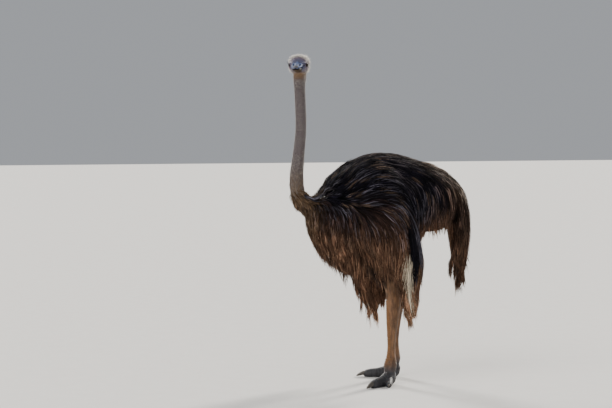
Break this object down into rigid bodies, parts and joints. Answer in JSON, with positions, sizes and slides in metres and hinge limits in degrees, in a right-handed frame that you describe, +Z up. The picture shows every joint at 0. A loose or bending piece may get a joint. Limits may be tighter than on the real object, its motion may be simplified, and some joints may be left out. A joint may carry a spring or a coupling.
{
  "type": "ostrich",
  "caption": "Tall flightless bird standing still: bare legs and hoofed toes, long upright neck, flat broad bill, loose hanging body plumes and a drooping tail, its head turned to its left.",
  "frame": {"origin": "on the floor, under the middle of the bird's bounding box", "axes": "+Z up, the bird faces -Y, and its left side is +X"},
  "size_m": [0.5888, 1.0632, 1.7985],
  "materials": {
    "plumage": "loose dark umber plumes, soft and dull, paler brown at their sunlit edges",
    "down": "thin greyish-pink skin under short sparse whitish down",
    "skin": "dry pinkish-buff scaled skin, dark grey and dusty on the feet",
    "horn": "blue-grey bill and dull horn claws, satin",
    "eye": "very dark brown wet eye"
  },
  "bodies": {
    "root": {"head": "down", "neck_upper": "down", "neck_middle": "down", "neck_lower": "down", "bill_upper": "horn", "bill_lower": "horn", "eye_left": "eye", "eye_right": "eye", "trunk": "plumage", "wing_left": "plumage", "wing_right": "plumage", "tail": "plumage", "thigh_left": "skin", "thigh_right": "skin", "shank_left": "skin", "shank_right": "skin", "foot_left": "skin", "foot_right": "skin", "claw_big_left": "horn", "claw_big_right": "horn", "claw_small_left": "horn", "claw_small_right": "horn"}
  },
  "joints": []
}
